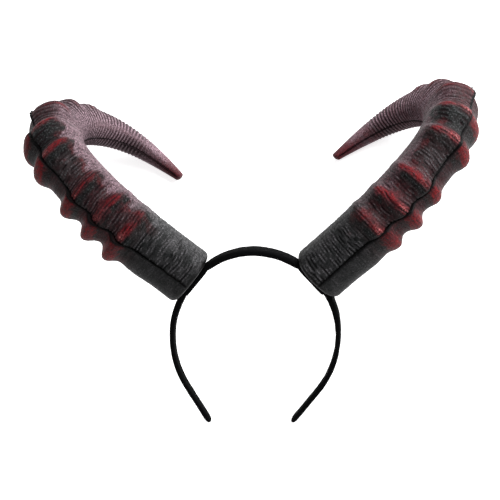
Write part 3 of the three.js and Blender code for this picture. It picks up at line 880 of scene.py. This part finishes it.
# where along the horn the glue ends, how softly, how ragged its edge is, and the length of that (mm)
GLUE, GLUE_SOFT, GLUE_RAGGED, GLUE_LUMP = 2.6, 2.2, 1.2, 4
# how much red there is without a brush mark and how much a mark adds, and what it adds to the core
RED_LEAST, RED_BRUSH, CORE_MARKS = 0.6, 0.6, 1.2
# how dark the cracks are, and the power that spreads the black of the seam
CRACK_DARK, SEAM_SPREAD = 0.7, 0.6


def horn_paint(name, half, at, degrees, round_mm, seam_mm, shares, seed):
    """The paint layers (0 to 1) at places along and round a half. Each is a product of smooth steps
    and bells along and round the horn, with noise for the brush, kept from 0 to 1."""
    tip, ribs, seam, thinner = [shares[key] for key in ("tip", "ribs", "seam", "thinner")]
    brush = 0.5 + 0.5 * paint_noise("brush", at, round_mm, seed)
    uneven = degrees + EDGE_BLOTS * paint_noise("blots", at, round_mm, seed)
    uneven = uneven + EDGE_SPECKS * paint_noise("specks", at, round_mm, seed)
    band, core, edge_highlight, haze = red_bands(name, half, at, degrees, round_mm, seed)
    under = under_crests(name, half, at, degrees, uneven, seed)
    start = np.interp(at, MAUVE_AT, MAUVE_FROM)
    fringe = bell(uneven - start + FRINGE_AHEAD, FRINGE_WIDTH) * rise(brush, *FRINGE_BRUSH)
    fringe = FRINGE_RED * fringe * rise(at, *FRINGE_FROM) * (1 - rise(at, *FRINGE_TO))
    wash = CURL_WASH[name] * tip * brush + TIP_RED * rise(at, *TIP_WASH)
    wash = wash + HAZE[half] * haze * (1 - under)
    face, face_length, thinned = GREY_FACE
    thin = thinned * bell(at - face, face_length) * (1 - rise(uneven, *GREY_FACE_ENDS)) * (half < 0)
    outer_wine = OUTER_WINE + (1 - OUTER_WINE) * tip
    wine = rise(at, *WINE_FROM) * np.where(degrees * half > 0, outer_wine, 1) * (1 - thin)
    shaded = SHADED_LESS * tip * (1 - rise(degrees, *SHADED_ENDS))
    ash = ribs * (1 - ASH_LESS * rise(at, *ASH_FADES)) * (1 - under) * (1 - shaded)
    # painted highlights: pale pink on the crests by the inner seam and along the edge of some crests
    painted_highlight = core * bell(seam_mm - SEAM_HIGHLIGHT_AT, SEAM_HIGHLIGHT_WIDTH) * (half < 0) + edge_highlight * brush
    glue_edge = at + GLUE_RAGGED * soft_noise(round_mm / GLUE_LUMP, at / GLUE_LUMP, seed + 50)
    glue = 1 - rise(glue_edge, GLUE, GLUE + GLUE_SOFT)
    layers = {
        "red": np.maximum(band * (RED_LEAST + RED_BRUSH * brush), fringe) + wash,
        "bright": core * (CORE_BRUSH[half] + CORE_MARKS * brush),
        "painted_highlight": painted_highlight,
        "mauve": mauve_with_light(name, at, degrees, uneven, start, shares),
        "wine": wine,
        "ash": ash,
        "under": under * STRIP_DARK[half],
        "dark": shares["grooves"] + CRACK_DARK * shares["crack"] + seam + HALF_DARK[half],
        "black": np.maximum(seam**SEAM_SPREAD * (2 * thinner - 1), glue) + shares["fins"],
    }
    return {key: np.clip(value, 0, 1) for key, value in layers.items()}


print("paint layers: red, bright, pink, mauve, wine, ash, under, dark, black")

# %% [markdown]
# ## The half shells
# A half is a closed shell: an outer skin with all the detail, a plain inner skin 3 mm below it,
# and a rim between the two along the seam. The rows start at the middle of the flat base, go round
# its edge, run up the shaft and end in a small dome. Columns crowd towards the seams, where the
# groove needs them. Low on the shaft the outer seam bows towards the outer half, so the halves are
# not mirror images, and cutting a whole horn in two with a plane would not do.

# %% Build the horn halves
WALL = 3
BASE_EDGE = 5
HOLLOW_END = 276
RELIEF_ENDS = 2
ROW_STEP = 0.45
COLUMNS, INNER_COLUMNS = 108, 7
CROWDING = 0.55
CAP_ROWS = 9
# horn: place and half length of the stretch where the outer seam bows out, and how far (degrees)
SEAM_BOW = {"left": (84, 46, 10), "right": (98, 34, 11)}


def horn_rows():
    """Place along the horn, inset and share of each row, with a pole (share 0) at either end."""
    cap = np.linspace(0, 1, CAP_ROWS)
    arc = cap * np.pi / 2
    shaft = np.arange(BAND_RISE + BASE_EDGE, HORN_LENGTH, ROW_STEP)[1:]
    base = BAND_RISE + BASE_EDGE * (1 - np.cos(arc))
    at = [BAND_RISE + 0 * cap[:-1], base, shaft, HORN_LENGTH + TIP_DOME * np.sin(arc)]
    inset = [BASE_EDGE + 0 * cap[:-1], BASE_EDGE * (1 - np.sin(arc)), 0 * shaft, 0 * arc]
    share = [cap[:-1], 1 + 0 * arc, 1 + 0 * shaft, np.cos(arc)]
    share[-1][-1] = 0
    return [np.concatenate(column)[:, None] for column in (at, inset, share)]


def bowed(name, half, at, angle):
    """Angles from 0 to 180 degrees, drawn on to where the outer seam bows towards the outer half."""
    place, length, most = SEAM_BOW[name]
    return angle + half * np.radians(most) * bell(at - place, length) * (1 - angle / np.pi)


def walked_round(at, angle):
    """The distance round the section from the outer seam (mm), summed along each row."""
    depth = along_sections(np.minimum(at, HORN_LENGTH), SECTION_DEPTH)
    breadth = along_sections(np.minimum(at, HORN_LENGTH), SECTION_BREADTH)
    c, s = superellipse(angle, SECTION_SQUARENESS)
    steps = np.hypot(np.diff(c, axis=1) * depth, np.diff(s, axis=1) * breadth)
    return np.concatenate([0 * at, np.cumsum(steps, axis=1)], axis=1)


def build_half(name, half, word, seed):
    """One half shell: the skin's grid, the lining's grid 3 mm below it, and a strip of cells along
    each seam that joins their edges. The relief fades out at the base and at the end of the tip."""
    at, inset, share = horn_rows()
    u = np.linspace(0, 1, COLUMNS)[None, :]
    angle = bowed(name, half, at, np.pi * (u - CROWDING * np.sin(2 * np.pi * u) / (2 * np.pi)))
    round_mm = walked_round(at, angle)
    seam_mm = np.minimum(round_mm, round_mm[:, -1:] - round_mm)
    grid = name, half, at, np.degrees(angle), round_mm, seam_mm
    relief, shares = horn_relief(*grid, seed)
    layers = horn_paint(*grid, shares, seed)
    on_skin = rise(at, BAND_RISE, BAND_RISE + BASE_EDGE)
    on_skin = on_skin * (1 - rise(at, HORN_LENGTH - RELIEF_ENDS, HORN_LENGTH))
    outer = horn_skin(name, half, at, angle, inset, share, relief * on_skin)

    rows = len(at)
    inner_at = np.linspace(BAND_RISE + WALL, HOLLOW_END, rows)[:, None]
    inner_share = np.ones_like(inner_at)
    inner_share[[0, -1]] = 0
    inner_angle = bowed(name, half, inner_at, np.linspace(0, np.pi, INNER_COLUMNS)[None, :])
    inner = horn_skin(name, half, inner_at, inner_angle, WALL, inner_share, 0)

    points = np.concatenate([outer.reshape(-1, 3), inner.reshape(-1, 3)])
    skin = np.arange(rows * COLUMNS).reshape(rows, COLUMNS)
    lining = skin.size + np.arange(rows * INNER_COLUMNS).reshape(rows, INNER_COLUMNS)
    for rows_of in (skin, lining):
        rows_of[0], rows_of[-1] = rows_of[0, 0], rows_of[-1, 0]
    rims = [np.stack([lining[:, 0], skin[:, 0]], 1), np.stack([skin[:, -1], lining[:, -1]], 1)]
    faces = np.concatenate([cells(part) for part in (skin, lining[:, ::-1], *rims)])
    uv = np.stack(np.broadcast_arrays(round_mm, at), -1).reshape(-1, 2) / CENTIMETRE
    uv = np.concatenate([uv, np.zeros((lining.size, 2))])
    dark = np.zeros(lining.size)
    layers = {key: np.concatenate([value.ravel(), dark]) for key, value in layers.items()}
    node = f"{name}_horn_{word}_half"
    return make_piece(f"{node}_foam", points, faces, uv, faces, layers, "horn_foam", node)


halves = [
    build_half("left", 1, "outer", 100),
    build_half("left", -1, "inner", 200),
    build_half("right", 1, "outer", 300),
    build_half("right", -1, "inner", 400),
]

# %% [markdown]
# ## Materials from nodes
# Each finish is a small node tree. One helper adds a node and fills its sockets, with a value or
# with the output of another node, so that a tree reads from top to bottom.

# %% Helpers for node trees
def new_material(name):
    """A material with only a Principled shader and an output."""
    material = bpy.data.materials.new(name)
    material.use_nodes = True
    tree = material.node_tree
    return material, tree, tree.nodes["Principled BSDF"]


def add(tree, kind, sockets=None, **settings):
    """Adds a node. Settings are its properties, and sockets are filled by name or number."""
    node = tree.nodes.new(kind)
    for key, value in settings.items():
        setattr(node, key, value)
    for key, value in (sockets or {}).items():
        fill(tree, node.inputs[key], value)
    return node


def fill(tree, socket, value):
    """Links a socket to an output, or sets its value."""
    if isinstance(value, bpy.types.NodeSocket):
        tree.links.new(value, socket)
    else:
        socket.default_value = value


def blend(tree, factor, first, second):
    """The colour that goes from first to second with the factor."""
    sockets = {0: factor, 6: first, 7: second}
    return add(tree, "ShaderNodeMix", sockets, data_type="RGBA").outputs[2]


def product(tree, first, second):
    """The product of two numbers, kept from 0 to 1."""
    sockets = {0: first, 1: second}
    return add(tree, "ShaderNodeMath", sockets, operation="MULTIPLY", use_clamp=True).outputs[0]


def between(tree, value, low, high):
    """A number spread so that low becomes 0 and high 1."""
    return add(tree, "ShaderNodeMapRange", {"Value": value, "From Min": low, "From Max": high}).outputs[0]


def shade(tree, colour, value, low, high, dark, light):
    """A colour times a number that goes from dark to light as the value goes from low to high."""
    sockets = {"Value": value, "From Min": low, "From Max": high, "To Min": dark, "To Max": light}
    factor = add(tree, "ShaderNodeMapRange", sockets).outputs[0]
    mixed = {0: 1.0, 6: colour, 7: factor}
    return add(tree, "ShaderNodeMix", mixed, data_type="RGBA", blend_type="MULTIPLY").outputs[2]


def layer(tree, name):
    """The number that a layer of the mesh holds."""
    return add(tree, "ShaderNodeAttribute", attribute_name=name).outputs["Fac"]


def grain(tree, vector, scale, detail=3.0, roughness=0.55, stretch=(1, 1, 1)):
    """Noise on a vector that is scaled first, and differently in each direction where it should be."""
    mapped = add(tree, "ShaderNodeMapping", {"Vector": vector, "Scale": stretch}).outputs[0]
    sockets = {"Vector": mapped, "Scale": scale, "Detail": detail, "Roughness": roughness}
    return add(tree, "ShaderNodeTexNoise", sockets).outputs[0]


print("node helpers ready")

# %% [markdown]
# ## The painted foam
# Pressed foam has a dull satin skin. Over its charcoal come the wine wash, the grey of the ribs, the
# mauve with its painted light, the dark strips with a few painted glints in them, and then the red
# with its bright core and its painted highlights. Each is broken up by a grain, the way a nearly dry
# brush leaves paint, and the grooves and seams go back to black at the end. Specks lighten and darken
# all of it, partly as dry-brush speckle and partly as painted glints. A painted image could do the
# same, but noise has no resolution to run out of. It reads the surface's own UV map, so that it
# follows the curl.

# %% The horn's finish
FOAM = {
    "charcoal": (0.027, 0.0265, 0.0277, 1),
    "green_black": (0.0065, 0.0078, 0.0076, 1),
    "ash": (0.082, 0.078, 0.083, 1),
    # painted glints, light flecks in the dark strips
    "painted_glint": (0.075, 0.076, 0.080, 1),
    "wine": (0.044, 0.0095, 0.0125, 1),
    # the grey is painted light on the base's inner side; the mauve is partly paint, partly painted light
    "lit_grey": (0.130, 0.126, 0.132, 1),
    "mauve": (0.240, 0.163, 0.192, 1),
    "red": (0.088, 0.006, 0.009, 1),
    "bright": (0.190, 0.008, 0.010, 1),
    # pale pink of the painted highlights on the crests
    "painted_highlight": (0.360, 0.140, 0.140, 1),
    "wine_black": (0.008, 0.0028, 0.004, 1),
    "black": (0.0012, 0.0012, 0.0013, 1),
}
# scale, detail, roughness and stretch of each grain
GRAINS = {
    "patches": (1.2, 2.0),
    "brush": (6.0, 4.0, 0.7, (0.5, 1, 1)),
    "speck": (9.0, 3.0, 0.65),
    "mottle": (4.5, 3.0, 0.6),
    "fleck": (11.0, 2.0, 0.5, (0.7, 1, 1)),
}
# the grain that breaks up each layer, and where on it the paint starts to show and where it is full
BROKEN_UP = {
    "wine": ("brush", 0.3, 0.65),
    "ash": ("speck", 0.35, 0.62),
    "mauve": ("speck", 0.2, 0.5),
    "under": ("fleck", 0.5, 0.8),
    "red": ("brush", 0.22, 0.5),
    "bright": ("brush", 0.4, 0.66),
    "painted_highlight": ("speck", 0.42, 0.66),
}
# where on their grain the bare foam's green patches start and are full, and how dark grooves are
GREEN_FROM, GROOVE_DARK = (0.35, 0.7), 0.9
# how a mottle shades the mauve and specks shade all of the paint, the specks partly as dry-brush
# speckle and partly as painted glints: low and high on the grain, and the share of the colour at each
MOTTLED, SPECKS_AND_GLINTS = (0.3, 0.7, 0.45, 1.5), (0.3, 0.7, 0.3, 1.75)


def horn_finish():
    """The layers of paint, each blended over the last by its layer of the mesh times a grain."""
    material, tree, shader = new_material("painted_foam")
    uv = add(tree, "ShaderNodeUVMap", uv_map="surface").outputs[0]
    grains = {name: grain(tree, uv, *row) for name, row in GRAINS.items()}

    def over(colour, name, paint):
        """A paint over a colour, as far as its layer of the mesh times its grain says."""
        kind, low, high = BROKEN_UP[name]
        shown = product(tree, layer(tree, name), between(tree, grains[kind], low, high))
        return blend(tree, shown, colour, paint)

    past_base = layer(tree, "wine")
    green = between(tree, grains["patches"], *GREEN_FROM)
    colour = blend(tree, green, FOAM["charcoal"], FOAM["green_black"])
    for name in ("wine", "ash"):
        colour = over(colour, name, FOAM[name])
    # the mauve layer's colour: grey at the base and mauve above it, partly painted light
    lit_grey_to_mauve = blend(tree, past_base, FOAM["lit_grey"], FOAM["mauve"])
    colour = over(colour, "mauve", shade(tree, lit_grey_to_mauve, grains["mottle"], *MOTTLED))
    colour = blend(tree, layer(tree, "under"), colour, FOAM["green_black"])
    # painted glints: light flecks over the dark strips
    colour = over(colour, "under", FOAM["painted_glint"])
    for name in ("red", "bright", "painted_highlight"):
        colour = over(colour, name, FOAM[name])
    # specks over all of the paint: partly dry-brush speckle, partly painted glints
    colour = shade(tree, colour, grains["speck"], *SPECKS_AND_GLINTS)
    dark = product(tree, layer(tree, "dark"), GROOVE_DARK)
    colour = blend(tree, dark, colour, blend(tree, past_base, FOAM["black"], FOAM["wine_black"]))
    colour = blend(tree, layer(tree, "black"), colour, FOAM["black"])
    fill(tree, shader.inputs["Base Color"], colour)
    satin = {"Value": grains["brush"], "To Min": 0.4, "To Max": 0.65}
    fill(tree, shader.inputs["Roughness"], add(tree, "ShaderNodeMapRange", satin).outputs[0])
    pores = {"Height": grains["speck"], "Strength": 0.8, "Distance": 0.0008}
    fill(tree, shader.inputs["Normal"], add(tree, "ShaderNodeBump", pores).outputs[0])
    shader.inputs["Specular IOR Level"].default_value = 0.08
    return material


painted_foam = horn_finish()
for piece in halves:
    piece.data.materials.append(painted_foam)
print("painted foam on", len(halves), "halves")

# %% [markdown]
# ## Cloth and felt
# The band's cloth is a plain black weave with a faint sheen, and the pads are felt, which is
# fibres without any weave. Threads are far below the size that geometry should hold, so they are
# bump: two crossed waves for the weave, and a fine noise for the felt.

# %% The cloth's and the felt's finish
THREADS = 22.0
CLOTH = [(0.0014, 0.0014, 0.0016, 1), (0.0036, 0.0036, 0.004, 1)]
FELT = [(0.0018, 0.0018, 0.002, 1), (0.0045, 0.0045, 0.005, 1)]
# scale, detail and roughness of the cloth's fuzz and of the felt's fibres, and where on the fuzz the
# darker black ends and the lighter one is full
CLOTH_FUZZ, FELT_FIBRES = (5.0, 4.0, 0.6), (1800, 4.0, 0.7)
FUZZ_BLEND = (0.3, 0.7)


def cloth_finish():
    """Two blacks blended by a fuzz, with the product of two crossed waves as bump."""
    material, tree, shader = new_material("black_cloth")
    uv = add(tree, "ShaderNodeUVMap", uv_map="surface").outputs[0]
    fuzz = grain(tree, uv, *CLOTH_FUZZ)
    waves = [
        add(tree, "ShaderNodeTexWave", {"Vector": uv, "Scale": THREADS}, bands_direction=way).outputs["Fac"]
        for way in ("X", "Y")
    ]
    weave = product(tree, *waves)
    colour = blend(tree, between(tree, fuzz, *FUZZ_BLEND), *CLOTH)
    fill(tree, shader.inputs["Base Color"], colour)
    bump = add(tree, "ShaderNodeBump", {"Height": weave, "Strength": 0.4, "Distance": 0.0002}).outputs[0]
    fill(tree, shader.inputs["Normal"], bump)
    rough = add(tree, "ShaderNodeMapRange", {"Value": fuzz, "To Min": 0.75, "To Max": 0.95}).outputs[0]
    fill(tree, shader.inputs["Roughness"], rough)
    shader.inputs["Specular IOR Level"].default_value = 0.03
    return material


def felt_finish():
    """Two blacks blended by a fine noise, which is the bump too."""
    material, tree, shader = new_material("black_felt")
    place = add(tree, "ShaderNodeTexCoord").outputs["Object"]
    fibres = grain(tree, place, *FELT_FIBRES)
    colour = blend(tree, fibres, *FELT)
    fill(tree, shader.inputs["Base Color"], colour)
    bump = add(tree, "ShaderNodeBump", {"Height": fibres, "Strength": 0.5, "Distance": 0.0003}).outputs[0]
    fill(tree, shader.inputs["Normal"], bump)
    shader.inputs["Roughness"].default_value = 0.95
    shader.inputs["Specular IOR Level"].default_value = 0.03
    return material


headband.data.materials.append(cloth_finish())
felt = felt_finish()
for pad in pads:
    pad.data.materials.append(felt)
print("cloth on the band, felt on", len(pads), "pads")

# %% [markdown]
# ## Floor, light and camera
# The headband lies on a plain pale floor. A black thing on white would need a very strong light for
# the floor to look white, and that would wash out the paint, so the floor glows a little itself, as a
# light table does.

# %% Floor
FLOOR_SIZE = 6.0
FLOOR_GLOW = 0.7
# scale and detail of the mottle between two whites
FLOOR_MOTTLE = (3.0, 2.0)
FLOOR_WHITES = [(0.88, 0.88, 0.88, 1), (0.92, 0.92, 0.92, 1)]


def build_floor():
    """One large square at the lowest point of the new surfaces."""
    low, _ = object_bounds()
    half = FLOOR_SIZE / 2
    corners = [(-half, -half, low.z), (half, -half, low.z), (half, half, low.z), (-half, half, low.z)]
    mesh = bpy.data.meshes.new("floor")
    mesh.from_pydata(corners, [], [(0, 1, 2, 3)])
    floor = bpy.data.objects.new("floor", mesh)
    bpy.context.scene.collection.objects.link(floor)
    material, tree, shader = new_material("pale_floor")
    place = add(tree, "ShaderNodeTexCoord").outputs["Object"]
    mottle = grain(tree, place, *FLOOR_MOTTLE)
    fill(tree, shader.inputs["Base Color"], blend(tree, mottle, *FLOOR_WHITES))
    shader.inputs["Roughness"].default_value = 0.8
    shader.inputs["Emission Color"].default_value = (1, 1, 1, 1)
    shader.inputs["Emission Strength"].default_value = FLOOR_GLOW
    floor.data.materials.append(material)
    floor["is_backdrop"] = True
    print(f"floor at {low.z / MM:.2f} mm")


build_floor()

# %% [markdown]
# A large soft light stands to the upper right, with a small low one beside it that catches the edges
# of the rolls. A pale sky fills the shadows. A sun lamp would be simpler, but its shadows are hard.

# %% Light
# name, place (metres), size (metres), power (watts)
LIGHTS = [
    ("key", (1.25, 1.05, 1.3), 1.6, 80),
    ("rim", (1.3, 1.0, 0.35), 0.5, 16),
]
SKY = 0.4


def build_lights():
    """Square lamps that face the middle of the solids, and an even white sky."""
    middle = (cad_low + cad_high) / 2
    for name, place, size, power in LIGHTS:
        light = bpy.data.lights.new(name, "AREA")
        light.size, light.energy = size, power
        lamp = bpy.data.objects.new(name, light)
        lamp.location = place
        lamp.rotation_euler = (middle - Vector(place)).to_track_quat("-Z", "Y").to_euler()
        bpy.context.scene.collection.objects.link(lamp)
    world = bpy.data.worlds.new("sky")
    world.use_nodes = True
    sky = world.node_tree.nodes["Background"]
    sky.inputs["Color"].default_value = (1, 1, 1, 1)
    sky.inputs["Strength"].default_value = SKY
    bpy.context.scene.world = world
    bpy.context.scene.view_settings.view_transform = "Standard"
    print("lights:", ", ".join(row[0] for row in LIGHTS))


build_lights()

# %% [markdown]
# The camera looks at the lying headband from nearly straight above, which shows the side that faces
# forwards when it is worn. It could be placed by eye in the table's frame. Three turns in the worn
# frame and a distance say more plainly where it is, and the lens follows from the width in view.

# %% Camera
SENSOR = 36.0
VIEW_TILT, VIEW_YAW, VIEW_ROLL = 22.0, 7.907, -1.318
VIEW_DISTANCE = 1150.5
VIEW_WIDTH = 383.5
VIEW_ABOUT = np.array([0, 0, -20.6])
VIEW_ASIDE, VIEW_ABOVE = -2.81, 20.35


def build_camera():
    """The rows of the view matrix are the camera's right, forward and up, in the worn frame."""
    view = turn("Y", VIEW_ROLL) @ turn("Z", -VIEW_YAW) @ turn("X", VIEW_TILT)
    place = view.T @ (VIEW_ASIDE, -VIEW_DISTANCE, VIEW_ABOVE) + VIEW_ABOUT
    right, forward, up = (LYING @ row for row in view)
    data = bpy.data.cameras.new("camera")
    data.sensor_width = SENSOR
    data.lens = SENSOR * VIEW_DISTANCE / VIEW_WIDTH
    camera = bpy.data.objects.new("camera", data)
    pose = np.eye(4)
    pose[:3, :3] = np.stack([right, up, -forward], 1)
    pose[:3, 3] = to_table(place)
    camera.matrix_world = Matrix(pose)
    bpy.context.scene.collection.objects.link(camera)
    bpy.context.scene.camera = camera
    print(f"camera {data.lens:.0f} mm, {VIEW_DISTANCE:.0f} mm away")


build_camera()

# %% [markdown]
# ## Finish
# The new surfaces may stand a little proud of the solids, and no more. The two boxes are compared
# here, and how far the new surfaces stand out is printed.

# %% Compare the boxes and finish
visual_low, visual_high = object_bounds()
proud = (*(cad_low - visual_low), *(visual_high - cad_high))
print("proud of the solids (mm):", [round(x / MM, 2) for x in proud])
